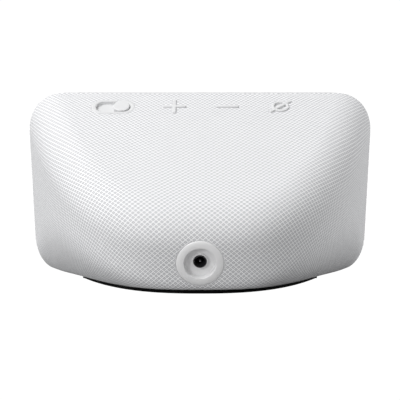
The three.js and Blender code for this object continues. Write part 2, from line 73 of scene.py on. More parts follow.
BODY_START = 2.5
BODY_HALF_WIDTH = 74
BODY_TOP = FRAME_LENGTH - 0.9
SLOPE_START = 5
BODY_DEPTH = 80.2
NOSE_REACH = BODY_DEPTH - FRAME_DEPTH
BODY_BOTTOM = 0.5
SHOULDER_RADIUS = 17.5
NOSE_SHOULDER_RADIUS = 12.5
NOSE_RADIUS = 6
BELLY_RADIUS = 31
SIDE_BLEND = 30       # height over which the sides change from the belly's rounding to the shoulder's
CORNER_EXPONENT = 2.35
UNDERSIDE_Z = 0.6
UNDERSIDE_RADIUS = 2
UNDERSIDE_GROWTH = 3  # what that rounding gains at the full width
BELLY_Z = -0.8

BASE_HALF_WIDTH = 52.5
BASE_FRONT = 9
BASE_REAR = 78.6
BASE_RIM = 2.3
BASE_CORNER = 3
BASE_EXPONENT = 2.5
FOOT_THICKNESS = 1.3

PORT_S = 39
PORT_RADIUS = 9.15
RECESS_RADIUS = 6.25
RECESS_DEPTH = 2.6
WELL_EXTRA = 0.7      # how much deeper than the CAD's recess the well is drawn
PORT_FACE = 0.3
JACK_RADIUS = 2.55

CONTROL_ROW = 7.1
SHUTTER_X = 36.7
SLOT_ROW = CONTROL_ROW + 2.4
KNOB_X = SHUTTER_X - 3.5
KNOB_RADIUS = 3.4
KNOB_BOTTOM = -1.3
TRAY_REACH = 4.5
TRAY_RADIUS = 4.6
SLIDE_REACH = 3.6
SLIDE_RADIUS = 3.65
VOLUME_UP_X = 10.8
VOLUME_DOWN_X = -11.5
MUTE_X = -33.9
GLYPH_LENGTH = 9.5
GLYPH_STROKE = 1.35
MUTE_RADIUS = 3.65
SLASH_LENGTH = 12
SLASH_ANGLE = math.radians(41)
KEY_PROUD = 0.6
KEY_BOTTOM = -4

GLASS_SET_BACK = 0.5
LCD_S = 39.5
LCD_HALF_WIDTH = 60.9
LCD_HALF_HEIGHT = 33
CAMERA_X = 57
SENSOR_X = -50
CAMERA_S = 75.8

# ---------- the weave, millimetres ----------

COURSE = 2.0          # sideways repeat of the diamond mesh
WALE = 1.9            # its repeat down the cloth
CROSSING_RISE = 0.07
RIDGE_RISE = 0.05
DIMPLE_DROP = 0.06
CLOTH_THICKNESS = 0.8
CUT_MARGIN = 0.03     # how far the cloth's cut edges stand off the parts in them

# The body's own y is measured from the screen's foot; the frame's y is from the middle of the box.
SHIFT_Y = BASE_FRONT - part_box("rubber_foot")[0].y / MM

# ---------- local frames ----------


def local_frame(x_axis, y_axis, z_axis, origin):
    """A matrix from local millimetres to the frame's metres."""
    turn = Matrix((x_axis, y_axis, z_axis)).transposed().to_4x4()
    return Matrix.Translation(Vector(origin) * MM) @ turn @ Matrix.Scale(MM, 4)


def from_screen(x, s, w):
    """Frame millimetres of a point s up the screen face and w back from it."""
    y = s * math.sin(TILT) + w * math.cos(TILT) - SHIFT_Y
    z = FRAME_BOTTOM_Z + s * math.cos(TILT) - w * math.sin(TILT)
    return x, y, z


SCREEN_UP = Vector((0, math.sin(TILT), math.cos(TILT)))
SCREEN_BACK = Vector((0, math.cos(TILT), -math.sin(TILT)))
SLOPE_DOWN = Vector((0, math.cos(SLOPE), -math.sin(SLOPE)))
SLOPE_OUT = Vector((0, math.sin(SLOPE), math.cos(SLOPE)))
SIDEWAYS = Vector((1, 0, 0))

AT_SCREEN = local_frame(SIDEWAYS, SCREEN_UP, -SCREEN_BACK, from_screen(0, 0, 0))
AT_SLOPE = local_frame(SIDEWAYS, SLOPE_DOWN, SLOPE_OUT, from_screen(0, BODY_TOP, SLOPE_START))
AT_PORT = local_frame(-SIDEWAYS, SCREEN_UP, SCREEN_BACK, from_screen(0, PORT_S, BODY_DEPTH))
AT_BASE = local_frame(SIDEWAYS, Vector((0, 1, 0)), Vector((0, 0, 1)), (0, -SHIFT_Y, 0))

# ---------- mesh helpers ----------


def new_object(name, points, faces, matrix=None, smooth_angle=None):
    """A mesh object from points and faces; a matrix takes its points into the frame."""
    mesh = bpy.data.meshes.new(name)
    mesh.from_pydata([tuple(p) for p in points], [], [tuple(int(i) for i in f) for f in faces])
    if matrix is not None:
        mesh.transform(matrix)
        if matrix.determinant() < 0:
            mesh.flip_normals()
    mesh.update()
    obj = bpy.data.objects.new(name, mesh)
    bpy.context.scene.collection.objects.link(obj)
    if smooth_angle is not None:
        shade_smooth(obj, smooth_angle)
    return obj


def shade_smooth(obj, angle=40):
    """Smooth shading that stays sharp where faces meet at more than the angle, in degrees."""
    obj.data.shade_smooth()
    obj.data.set_sharp_from_angle(angle=math.radians(angle))


def apply_modifiers(obj):
    """Replaces the object's mesh with what its modifiers make of it."""
    graph = bpy.context.evaluated_depsgraph_get()
    shaped = obj.evaluated_get(graph)
    made = bpy.data.meshes.new_from_object(shaped, preserve_all_data_layers=True, depsgraph=graph)
    obj.modifiers.clear()
    obj.data = made
    return obj


def join_meshes(name, objects):
    """One object holding every mesh of the others, which are removed."""
    points, faces = [], []
    for obj in objects:
        start = len(points)
        points += [obj.matrix_world @ v.co for v in obj.data.vertices]
        faces += [[start + i for i in polygon.vertices] for polygon in obj.data.polygons]
        bpy.data.objects.remove(obj)
    return new_object(name, points, faces)


def join_smooth(name, objects, angle=35):
    """The same, with smooth shading."""
    obj = join_meshes(name, objects)
    shade_smooth(obj, angle)
    return obj


def boolean(obj, tool, operation="DIFFERENCE"):
    """Cuts or joins with a tool, which is removed."""
    modifier = obj.modifiers.new(operation.title(), "BOOLEAN")
    modifier.object = tool
    modifier.operation = operation
    modifier.solver = "MANIFOLD"
    bpy.context.view_layer.update()
    apply_modifiers(obj)
    bpy.data.objects.remove(tool)
    return obj


def lofted_ring(loops):
    """Faces and points of a tube through equal closed loops, the last joined to the first."""
    count = len(loops[0])
    points = [p for loop in loops for p in loop]
    faces = []
    for i in range(len(loops)):
        here, there = i * count, (i + 1) % len(loops) * count
        for k in range(count):
            n = (k + 1) % count
            faces.append((here + k, here + n, there + n, there + k))
    return points, faces


def capped_loft(loops):
    """Faces and points of a solid through equal closed loops, with a flat cap at each end."""
    count = len(loops[0])
    points, faces = lofted_ring(loops)
    faces = faces[: count * (len(loops) - 1)]
    last = (len(loops) - 1) * count
    faces.append(tuple(range(count - 1, -1, -1)))
    faces.append(tuple(range(last, last + count)))
    return points, faces


def rounded(profile, radius, steps=4, closed=True):
    """The profile with each corner replaced by an arc-like curve, cut back by at most the radius."""
    count = len(profile)
    result = []
    for i in range(count):
        here = Vector(profile[i])
        before = Vector(profile[i - 1])
        after = Vector(profile[(i + 1) % count])
        if not closed and i in (0, count - 1):
            result.append(tuple(here))
            continue
        back = min(radius, (before - here).length * 0.45)
        ahead = min(radius, (after - here).length * 0.45)
        start = here + (before - here).normalized() * back
        end = here + (after - here).normalized() * ahead
        for k in range(steps + 1):
            t = k / steps
            result.append(tuple(start * (1 - t) ** 2 + here * 2 * t * (1 - t) + end * t ** 2))
    return result


def turned_ring(name, profile, matrix, segments=96, smooth_angle=40):
    """A ring about the local z axis from a closed profile of (radius, z)."""
    angles = [2 * math.pi * k / segments for k in range(segments)]
    loops = [[(r * math.cos(a), r * math.sin(a), z) for a in angles] for r, z in profile]
    return new_object(name, *lofted_ring(loops), matrix, smooth_angle)


def turned_solid(name, profile, matrix, centre=(0, 0), segments=64, smooth_angle=40):
    """A solid about a line parallel to the local z axis, from an open profile of (radius, z) going up."""
    cx, cy = centre
    angles = [2 * math.pi * k / segments for k in range(segments)]
    loops = [[(cx + r * math.cos(a), cy + r * math.sin(a), z) for a in angles] for r, z in profile]
    return new_object(name, *capped_loft(loops), matrix, smooth_angle)


def prism(name, outline, z0, z1, matrix):
    """A straight prism on an outline listed against the clock."""
    return new_object(name, *capped_loft([[(x, y, z) for x, y in outline] for z in (z0, z1)]), matrix)


def soft_prism(name, outline, z0, z1, edge, matrix, corner=0.0):
    """A prism whose top edge, and upright corners if asked, are rounded by bevels."""
    obj = prism(name, rounded(outline, corner, 3) if corner else outline, z0, z1, None)
    top = {v.index for v in obj.data.vertices if abs(v.co.z - z1) < 1e-6}
    weights = obj.data.attributes.new("bevel_weight_edge", "FLOAT", "EDGE")
    for line in obj.data.edges:
        weights.data[line.index].value = 1.0 if set(line.vertices) <= top else 0.0
    bevel = obj.modifiers.new("Soft edge", "BEVEL")
    bevel.limit_method = "WEIGHT"
    bevel.width = edge
    bevel.segments = 3
    apply_modifiers(obj)
    obj.data.transform(matrix)
    shade_smooth(obj, 35)
    return obj


# ---------- outlines ----------


def circle(radius, x=0.0, y=0.0, segments=64):
    return [
        (x + radius * math.cos(2 * math.pi * k / segments), y + radius * math.sin(2 * math.pi * k / segments))
        for k in range(segments)
    ]


def stadium(reach, radius, x=0.0, y=0.0, steps=20):
    """Two half circles, with their centres at a reach to each side of the middle."""
    points = []
    for side in (1, -1):
        for k in range(steps + 1):
            angle = (k / steps - 0.5) * math.pi + (0 if side > 0 else math.pi)
            points.append((x + side * reach + radius * math.cos(angle), y + radius * math.sin(angle)))
    return points


def screen_outline(inset, steps=22):
    """The screen's outline pulled in by an inset; its corners are a little squarer than arcs."""
    radius = FRAME_CORNER - inset
    half_width = WIDTH / 2 - inset - radius
    half_length = FRAME_LENGTH / 2 - inset - radius
    points = []
    for corner, (sx, sy) in enumerate(((1, 1), (-1, 1), (-1, -1), (1, -1))):
        for k in range(steps + 1):
            angle = (corner + k / steps) * math.pi / 2
            cx = abs(math.cos(angle)) ** (2 / CORNER_EXPONENT)
            cy = abs(math.sin(angle)) ** (2 / CORNER_EXPONENT)
            x = sx * (half_width + radius * cx)
            y = FRAME_LENGTH / 2 + sy * (half_length + radius * cy)
            points.append((x, y))
    return points


def base_outline(inset, steps=48):
    """The D-shaped base, pulled in by an inset: straight in front, bullet-shaped behind."""
    half_width = BASE_HALF_WIDTH - inset
    rear = BASE_REAR - inset
    front = BASE_FRONT + inset
    corner = max(BASE_CORNER - inset, 0.5)
    points = [(-half_width + corner, front), (half_width - corner, front)]
    for k in range(2 * steps + 1):
        t = 1 - k / steps
        x = half_width * math.copysign(abs(t) ** 0.8, t)
        y = rear - (rear - front) * abs(x / half_width) ** BASE_EXPONENT
        points.append((x, max(y, front + corner * 0.8)))
    return [p for k, p in enumerate(points) if k == 0 or math.dist(p, points[k - 1]) > 0.05]


def bar_outline(x, half_length, half_width, angle=0.0):
    """A straight stroke in the row of controls."""
    c, s = math.cos(angle), math.sin(angle)
    corners = ((-1, -1), (1, -1), (1, 1), (-1, 1))
    return [
        (
            x + i * half_length * c - j * half_width * s,
            CONTROL_ROW + i * half_length * s + j * half_width * c,
        )
        for i, j in corners
    ]


def plus_outline(x, margin=0.0):
    a = GLYPH_LENGTH / 2 + margin
    b = GLYPH_STROKE / 2 + margin
    quarter = ((a, -b), (a, b), (b, b))
    points = []
    for turn in range(4):
        c, s = round(math.cos(turn * math.pi / 2)), round(math.sin(turn * math.pi / 2))
        points += [(x + i * c - j * s, CONTROL_ROW + i * s + j * c) for i, j in quarter]
    return points


def minus_outline(x, margin=0.0):
    return bar_outline(x, GLYPH_LENGTH / 2 + margin, GLYPH_STROKE / 2 + margin)


def slash_outline(x, margin=0.0):
    return bar_outline(x, SLASH_LENGTH / 2 + margin, GLYPH_STROKE / 2 + margin, SLASH_ANGLE)


# ---------- the back's surface ----------


def closeness(depth, radius):
    """1 on a wall, falling to 0 at the rounding radius inside it."""
    return np.maximum(0, 1 - depth / radius) ** CORNER_EXPONENT


def back_share(w):
    """0 at the back of the screen frame, 1 at the nose."""
    return np.clip((w - FRAME_DEPTH) / NOSE_REACH, 0, 1)


def belly_radius(w):
    """The rounding low on the sides: widest midway back, less behind the frame and least at the nose."""
    q = back_share(w)
    return NOSE_RADIUS + (BELLY_RADIUS - NOSE_RADIUS) * (1 - q ** 4) * (1 - 0.75 * (1 - q) ** 6)


def shoulder_radius(w):
    """The rounding of the upper edges, which tightens toward the nose."""
    return SHOULDER_RADIUS + (NOSE_SHOULDER_RADIUS - SHOULDER_RADIUS) * back_share(w) ** 2


def body_level(x, s, w):
    """Less than 1 inside the back, more outside it."""
    z = FRAME_BOTTOM_Z + s * math.cos(TILT) - w * math.sin(TILT)
    sideways = np.abs(x) / BODY_HALF_WIDTH
    wall_slope = 3 * NOSE_REACH / BODY_HALF_WIDTH * sideways ** 2
    edge_radius = UNDERSIDE_RADIUS + UNDERSIDE_GROWTH * sideways ** 3
    wall = (BODY_DEPTH - NOSE_REACH * sideways ** 3 - w) / np.hypot(1, wall_slope)
    drop = SLOPE - TILT
    top = (BODY_TOP - (w - SLOPE_START) * math.tan(drop) - s) * math.cos(drop)
    belly = belly_radius(w)
    shoulder = shoulder_radius(w)
    below = (closeness(s - BODY_BOTTOM, SHOULDER_RADIUS) ** 4 + closeness(z - BELLY_Z, belly) ** 4) ** 0.25
    climb = np.clip((s - PORT_S + SIDE_BLEND / 2) / SIDE_BLEND, 0, 1)
    upper_share = climb ** 2 * (3 - 2 * climb)
    beside = closeness(wall, belly + (shoulder - belly) * upper_share)
    return closeness(top, shoulder) + below + beside + closeness(z - UNDERSIDE_Z, edge_radius)


def body_normal(x, s, w):
    """Outward unit vectors of the surface, in screen axes."""
    step = 0.02
    gradient = np.stack([
        body_level(x + step, s, w) - body_level(x - step, s, w),
        body_level(x, s + step, w) - body_level(x, s - step, w),
        body_level(x, s, w + step) - body_level(x, s, w - step),
    ], -1)
    return gradient / np.linalg.norm(gradient, axis=-1, keepdims=True)


# ---------- how the cloth lies on the back ----------

RIM_W = BODY_START - 2     # the cloth is laid out past the rim and trimmed there
SLICE_STEP = 0.4
SLICE_RAYS = 520
SLICE_REACH = 140          # longer than any ray from the port's level on the rim to the surface
SLICE_HALVINGS = 34
BOW = 0.0026               # how much the rows of the mesh dip at the middle of the slope, per millimetre
BOW_REACH = 50
BOW_START = 15
CORNER_FOLLOW = 0.8        # how far the rows follow the rim round its top corners
FAN = 0.14                 # how much wider the mesh is stretched at the foot of the slope
FAN_MIDDLE = 62
FAN_SPREAD = 42


def slices():
    """The surface cut by planes of constant x: each x, with s, w and the row coordinate v down its cut."""
    x = np.arange(0, BODY_HALF_WIDTH + 0.5, SLICE_STEP)
    angle = np.linspace(math.pi / 2, -math.pi / 2, SLICE_RAYS)
    up, back = np.sin(angle), np.cos(angle)
    near = np.zeros((len(x), len(angle)))
    far = np.full_like(near, SLICE_REACH)
    for _ in range(SLICE_HALVINGS):
        middle = (near + far) / 2
        inside = body_level(x[:, None], PORT_S + middle * up, RIM_W + middle * back) < 1
        near = np.where(inside, middle, near)
        far = np.where(inside, far, middle)
    s = PORT_S + near * up
    w = RIM_W + near * back
    along = np.zeros_like(s)
    along[:, 1:] = np.cumsum(np.hypot(np.diff(s, axis=1), np.diff(w, axis=1)), axis=1)
    dip = BOW * x ** 2 / (1 + (x / BOW_REACH) ** 2)
    lowered = CORNER_FOLLOW * (s[0, 0] - s[:, 0])
    v = along + lowered[:, None] + dip[:, None] * (1 - np.exp(-along / BOW_START))
    return x, s, w, v


def cloth_rows():
    """Rows a quarter repeat apart: each row's cloth coordinate u with its x, s and w, or None."""
    x, s, w, v = slices()
    rows = np.arange(0, v.max(), WALE / 4)
    row_s = np.array([np.interp(rows, v[i], s[i], np.nan, np.nan) for i in range(len(x))])
    row_w = np.array([np.interp(rows, v[i], w[i], np.nan, np.nan) for i in range(len(x))])
    stretch = 1 + FAN * np.exp(-(((rows - FAN_MIDDLE) / FAN_SPREAD) ** 2))
    result = []
    for n in range(len(rows)):
        seen = np.isfinite(row_s[:, n])
        first = int(np.argmax(seen))
        if not seen.any() or first > 0:
            result.append(None)
            continue
        count = len(seen) if seen.all() else int(np.argmin(seen))
        px, ps, pw = x[:count], row_s[:count, n], row_w[:count, n]
        step = np.sqrt(np.diff(px) ** 2 + np.diff(ps) ** 2 + np.diff(pw) ** 2)
        u = np.concatenate([[0], np.cumsum(step)]) / stretch[n]
        result.append((u, px, ps, pw))
    return result


def mesh_cells(node):
    """The diamond cells with all four corners on the cloth, less any that meet another at one corner only."""
    width, height = node.shape
    cell = np.zeros_like(node)
    cell[1:-1, :-2] = node[1:-1, :-2] & node[1:-1, 2:] & node[2:, 1:-1] & node[:-2, 1:-1]
    m, n = np.meshgrid(np.arange(width), np.arange(height), indexing="ij")
    cell &= (m + n) % 2 == width // 2 % 2
    while True:
        above, below, right, left = (np.zeros_like(cell) for _ in range(4))
        above[:, :] = cell
        below[:, 2:] = cell[:, :-2]
        right[:-1, 1:] = cell[1:, :-1]
        left[1:, 1:] = cell[:-1, :-1]
        pinched = (above & below & ~left & ~right) | (left & right & ~above & ~below)
        if not pinched.any():
            return cell
        cell &= ~pinched
        loose = np.zeros_like(cell)
        loose[:, :-2] = pinched[:, 2:]
        loose[1:, :-1] |= pinched[:-1, 1:]
        loose[:-1, :-1] |= pinched[1:, 1:]
        cell &= ~loose


def cloth_shell():
    """The cloth as a closed shell whose outer vertices follow the mesh: crossings up, dimples down.

    Returns its points, its faces, the number of outer faces, and the mesh coordinates (a, b) of each point.
    """
    rows = cloth_rows()
    reach = max(r[0][-1] for r in rows if r is not None)
    half = 2 * int(reach / (COURSE / 4) / 2) + 2
    node = np.zeros((2 * half + 1, len(rows)), bool)
    position = np.zeros((2 * half + 1, len(rows), 3))
    for n, row in enumerate(rows):
        if row is None:
            continue
        u, px, ps, pw = row
        m = np.arange(n % 2, int(u[-1] / (COURSE / 4)) + 1, 2)
        m = m[m <= half]
        found = np.stack([np.interp(m * COURSE / 4, u, p) for p in (px, ps, pw)], -1)
        node[half + m, n] = True
        node[half - m, n] = True
        position[half + m, n] = found
        position[half - m, n] = found * (-1, 1, 1)
    cell = mesh_cells(node)
    m, n = np.nonzero(cell)
    corners = np.stack([
        np.stack([m, n], -1),
        np.stack([m + 1, n + 1], -1),
        np.stack([m, n + 2], -1),
        np.stack([m - 1, n + 1], -1),
    ], 1)
    number = -np.ones(node.shape, int)
    used = np.zeros_like(node)
    used[corners[..., 0], corners[..., 1]] = True
    number[used] = np.arange(used.sum())
    outer = number[corners[..., 0], corners[..., 1]]
    mu, nu = np.nonzero(used)
    a2 = (mu - half + nu) // 2
    b2 = (mu - half - nu) // 2
    screen = position[used]
    normal = body_normal(*screen.T)
    crossing = (a2 % 2 == 1) & (b2 % 2 == 1)
    dimple = (a2 % 2 == 0) & (b2 % 2 == 0)
    rise = np.where(crossing, CROSSING_RISE, np.where(dimple, -DIMPLE_DROP, RIDGE_RISE))
    top = screen + normal * rise[:, None]
    bottom = screen - normal * CLOTH_THICKNESS
    points = np.concatenate([top, bottom])
    points = np.stack(from_screen(points[:, 0], points[:, 1], points[:, 2]), -1) * MM
    count = len(top)
    sides = np.concatenate([outer[:, [k, (k + 1) % 4]] for k in range(4)])
    keys = np.sort(sides, axis=1)
    _, where, uses = np.unique(keys, axis=0, return_index=True, return_counts=True)
    rim = sides[where[uses == 1]]
    walls = np.stack([rim[:, 1], rim[:, 0], rim[:, 0] + count, rim[:, 1] + count], -1)
    faces = np.concatenate([outer, outer[:, ::-1] + count, walls])
    mesh_at = np.stack([a2 / 2, b2 / 2], -1)
    return points, faces, len(outer), np.concatenate([mesh_at, mesh_at])


def control_cutters(margin):
    """Prisms that open the cloth for the keys and the shutter's tray."""
    low, high = -8, 6
    tray = stadium(TRAY_REACH, TRAY_RADIUS + margin, SHUTTER_X, CONTROL_ROW)
    return [
        prism("cut_up", plus_outline(VOLUME_UP_X, margin), low, high, AT_SLOPE),
        prism("cut_down", minus_outline(VOLUME_DOWN_X, margin), low, high, AT_SLOPE),
        boolean(
            prism("cut_mute", circle(MUTE_RADIUS + margin, MUTE_X, CONTROL_ROW), low, high, AT_SLOPE),
            prism("cut_slash", slash_outline(MUTE_X, margin), low, high, AT_SLOPE),
            "UNION",
        ),
        prism("cut_tray", tray, low, high, AT_SLOPE),
    ]


def cloth_cutter():
    """Everything that trims the cloth, as one tool: the rim, the base, the port and the controls."""
    rim = [(-90, -20), (90, -20), (90, 110), (-90, 110)]
    tools = [
        prism("cut_rim", rim, -FRAME_DEPTH - CUT_MARGIN, 20, AT_SCREEN),
        prism("cut_base", base_outline(BASE_RIM), -3, 8, AT_BASE),
        prism("cut_port", circle(PORT_RADIUS + CUT_MARGIN, segments=128), -9, 6, AT_PORT),
        *control_cutters(CUT_MARGIN),
    ]
    return join_meshes("cloth_cutter", tools)


def woven_cover():
    """The fabric of the back: a sheet whose mesh follows its weave, stretched over the housing."""
    points, faces, outer_count, mesh_at = cloth_shell()
    obj = new_object("woven_cover", points, faces)
    inner = np.zeros(len(faces), np.int32)
    inner[outer_count:2 * outer_count] = 1
    obj.data.materials.append(bpy.data.materials.new("outside"))
    obj.data.materials.append(bpy.data.materials.new("inside"))
    obj.data.polygons.foreach_set("material_index", inner)
    attribute = obj.data.attributes.new("mesh_at", "FLOAT_VECTOR", "POINT")
    flat = np.concatenate([mesh_at, np.zeros((len(mesh_at), 1))], 1).astype(np.float32)
    attribute.data.foreach_set("vector", flat.ravel())
    boolean(obj, cloth_cutter())
    keep_outside(obj)
    return obj


def keep_outside(obj):
    """Takes away the shell's inner skin, which only closed it for the cuts."""
    mesh = bmesh.new()
    mesh.from_mesh(obj.data)
    bmesh.ops.delete(mesh, geom=[f for f in mesh.faces if f.material_index == 1], context="FACES")
    mesh.to_mesh(obj.data)
    mesh.free()
    obj.data.materials.clear()
    shade_smooth(obj, 50)


# ---------- the other pieces ----------


def swept_ring(name, profile, outline, matrix):
    """A closed profile of (inset, depth back from the screen) carried round the screen's outline."""
    loops = [[(x, y, -w) for x, y in outline(inset)] for inset, w in profile]
    return new_object(name, *lofted_ring(loops), matrix, 35)


def front_frame():
    """The screen's surround: rounded outside, and sloping in to the glass."""
    inner = FRAME_WALL - 0.05
    back = [(inner, FRAME_DEPTH), (0.05, FRAME_DEPTH), (0, FRAME_DEPTH - 0.15)]
    front = rounded([back[-1], (0, 0.1), (1.5, 0), (inner, 0.45), back[0]], 0.7, 5, closed=False)
    return swept_ring("frame_moulding", [*back[1:][::-1], *front[::-1][:-1]], screen_outline, AT_SCREEN)


def cover_glass():
    """The glass, its front edge ground to a small round."""
    inset = FRAME_WALL + 0.03
    edge = [(1.8, inset), (0.75, inset), (0.58, inset + 0.08), (GLASS_SET_BACK, inset + 0.3)]
    loops = [[(x, y, -w) for x, y in screen_outline(pull)] for w, pull in edge]
    return new_object("front_glass", *capped_loft(loops), AT_SCREEN, 25)


def port_ring():
    """The ring round the power inlet: a flat brim, a steep wall, a dished well and a collar at the socket."""
    brim = PORT_RADIUS - 1.2
    bottom = PORT_FACE - RECESS_DEPTH - WELL_EXTRA
    wall_foot = bottom + 0.3
    mouth = RECESS_RADIUS - 0.12
    sleeve = JACK_RADIUS + 0.05
    collar = JACK_RADIUS + 0.5
    edge = rounded([(PORT_RADIUS, -5), (PORT_RADIUS, PORT_FACE - 0.35), (brim, PORT_FACE)], 0.3, 5, False)
    wall = [(brim, PORT_FACE), (RECESS_RADIUS, PORT_FACE), (mouth, wall_foot)]
    lip = rounded([*wall, (mouth - 0.1, wall_foot - 0.02)], 0.12, 4, False)
    dish = []
    for k in range(11):
        t = 1 - k / 10
        dish.append((collar + (mouth - 0.15 - collar) * t, bottom + 0.26 * t ** 4))
    crest = rounded([dish[-1], (collar, bottom + 1.15), (sleeve, bottom + 1.1), (sleeve, -5)], 0.15, 3, False)
    return turned_ring("inlet_ring", [*edge[:-1], *lip, *dish, *crest[1:]], AT_PORT, 128, 50)


def power_jack():
    """The black socket in the well: a bevelled sleeve with a deep bore, closed at its back."""
    nose = PORT_FACE - RECESS_DEPTH + 0.85
    bore = 1.95
    sleeve = [(bore, -13), (JACK_RADIUS, -13), (JACK_RADIUS, nose - 0.25), (JACK_RADIUS - 0.25, nose)]
    sleeve += [(bore + 0.35, nose), (bore, nose - 0.6)]
    ring = turned_ring("jack_sleeve", sleeve, AT_PORT, 64, 30)
    back = turned_solid("jack_floor", [(bore + 0.1, -13), (bore + 0.1, -12.2)], AT_PORT, segments=48)
    return join_smooth("inlet_jack", [ring, back])


def jack_pin():
    """The centre contact, with a rounded tip."""
    radius = 0.45
    angles = [k * math.pi / 12 for k in range(6)]
    tip = [(radius * math.cos(a), -2.9 + 0.8 * math.sin(a)) for a in angles]
    return turned_solid("inlet_pin", [(radius, -12), *tip, (0.05, -2.1)], AT_PORT, segments=32)


def shutter_tray():
    """The tray that the camera shutter's knob slides in: a soft low lip, a sunk floor and an offset slot."""
    lip = [(4.6, -2.4), (4.6, 0), (4.55, 0.08), (4.4, 0.13), (4.05, 0.14), (3.85, 0.1), (3.72, -0.05)]
    slide = [(3.66, -0.3), (3.63, -1.2), (3.5, -1.35)]
    loops = []
    for radius, z in [*lip, *slide]:
        outward = min(1, max(0, radius - SLIDE_RADIUS) / (TRAY_RADIUS - SLIDE_RADIUS))
        reach = SLIDE_REACH + (TRAY_REACH - SLIDE_REACH) * outward
        loops.append([(x, y, z) for x, y in stadium(reach, radius, SHUTTER_X, CONTROL_ROW)])
    tray = new_object("shutter_tray", *capped_loft(loops), AT_SLOPE)
    slot = [(x, y + SLOT_ROW - CONTROL_ROW) for x, y in bar_outline(SHUTTER_X, 4.9, 0.52)]
    boolean(tray, prism("slot", rounded(slot, 0.5, 4), -4, 2, AT_SLOPE))
    shade_smooth(tray, 35)
    return tray


def shutter_knob():
    """The sliding knob: a low flat button with a soft edge, on its stem."""
    r = KNOB_RADIUS + 0.08
    centre = (KNOB_X, CONTROL_ROW)
    rim = rounded([(r, KNOB_BOTTOM), (r, 0.62), (r - 0.8, 0.7)], 0.35, 6, closed=False)
    cap = turned_solid("knob_cap", [*rim, (r - 1.6, 0.7), (0.05, 0.68)], AT_SLOPE, centre, 72, 30)
    stem_outline = [(x, y + SLOT_ROW - CONTROL_ROW) for x, y in bar_outline(KNOB_X, 0.9, 0.45)]
    stem = prism("knob_stem", stem_outline, -4.4, KNOB_BOTTOM, AT_SLOPE)
    return join_smooth("shutter_button", [cap, stem], 30)


def key_stem(name, x):
    """The hidden pad under a key, which presses its switch."""
    half = 5.6
    pad = [(x + i * half, CONTROL_ROW + j * half) for i, j in ((-1, -1), (1, -1), (1, 1), (-1, 1))]
    return prism(name, pad, KEY_BOTTOM - 0.6, KEY_BOTTOM + 0.5, AT_SLOPE)


def plus_key():
    glyph = soft_prism("plus", plus_outline(VOLUME_UP_X), KEY_BOTTOM, KEY_PROUD, 0.32, AT_SLOPE, 0.3)
    return join_smooth("plus_key", [glyph, key_stem("plus_stem", VOLUME_UP_X)])


def minus_key():
    glyph = soft_prism("minus", minus_outline(VOLUME_DOWN_X), KEY_BOTTOM, KEY_PROUD, 0.32, AT_SLOPE, 0.3)
    return join_smooth("minus_key", [glyph, key_stem("minus_stem", VOLUME_DOWN_X)])


def mute_key():
    """A ring crossed by a slash, standing on a sunk disc."""
    r = MUTE_RADIUS
    ring_profile = rounded([(r, -1), (r, KEY_PROUD), (r - 1.1, KEY_PROUD), (r - 1.1, -1)], 0.3, 4)
    at = AT_SLOPE @ Matrix.Translation((MUTE_X, CONTROL_ROW, 0))
    ring = turned_ring("mute_ring", ring_profile, at, 96, 35)
    slash = soft_prism("mute_slash", slash_outline(MUTE_X), KEY_BOTTOM, KEY_PROUD + 0.03, 0.32, AT_SLOPE, 0.3)
    disc_profile = [(r - 0.1, KEY_BOTTOM), (r - 0.1, -0.3)]
    disc = turned_solid("mute_disc", disc_profile, AT_SLOPE, (MUTE_X, CONTROL_ROW), 96)
    return join_smooth("mute_sign", [ring, slash, disc, key_stem("mute_stem", MUTE_X)])


def foot():
    """The rubber foot: a D-shaped pad with bevelled edges and a shallow groove round its underside."""
    steps = [(0.12, 0), (0, 0.12), (0, FOOT_THICKNESS - 0.15), (0.15, FOOT_THICKNESS)]
    inside = [(4.2, 0), (4.0, 0.4), (3.2, 0.4), (3.0, 0)]
    loops = [[(x, y, z) for x, y in foot_outline(inset)] for inset, z in [*inside, *steps]]
    return new_object("foot_pad", *capped_loft(loops), AT_BASE, 30)


def foot_outline(inset, count=240):
    """The base outline as a fixed number of evenly spaced points, so that insets match point for point."""
    points = np.array(base_outline(inset))
    closed = np.vstack([points, points[:1]])
    along = np.concatenate([[0], np.cumsum(np.hypot(*np.diff(closed, axis=0).T))])
    at = np.linspace(0, along[-1], count, endpoint=False)
    return list(zip(np.interp(at, along, closed[:, 0]), np.interp(at, along, closed[:, 1])))


# ---------- materials ----------


def new_material(name, colour, roughness, metallic=0.0):
    made = bpy.data.materials.new(name)
    made.use_nodes = True
    shader = made.node_tree.nodes["Principled BSDF"]
    shader.inputs["Base Color"].default_value = (*colour, 1)
    shader.inputs["Roughness"].default_value = roughness
    shader.inputs["Metallic"].default_value = metallic
    return made, made.node_tree, shader


def feed(tree, socket, value):
    if isinstance(value, bpy.types.NodeSocket):
        tree.links.new(value, socket)
    else:
        socket.default_value = value


def maths(tree, operation, *values):
    """The output of a Math node fed with sockets or numbers."""
    node = tree.nodes.new("ShaderNodeMath")
    node.operation = operation
    for socket, value in zip(node.inputs, values):
        feed(tree, socket, value)
    return node.outputs[0]


def between(tree, value, low, high, to_low=0.0, to_high=1.0):
    """A smooth step of a value between two limits."""
    node = tree.nodes.new("ShaderNodeMapRange")
    node.interpolation_type = "SMOOTHSTEP"
    for name, number in (("From Min", low), ("From Max", high), ("To Min", to_low), ("To Max", to_high)):
        feed(tree, node.inputs[name], number)
    feed(tree, node.inputs["Value"], value)
    return node.outputs["Result"]


def blended(tree, factor, first, second):
    """A colour between two."""
    node = tree.nodes.new("ShaderNodeMix")
    node.data_type = "RGBA"
    feed(tree, node.inputs["Factor"], factor)
    feed(tree, node.inputs[6], first)
    feed(tree, node.inputs[7], second)
    return node.outputs[2]


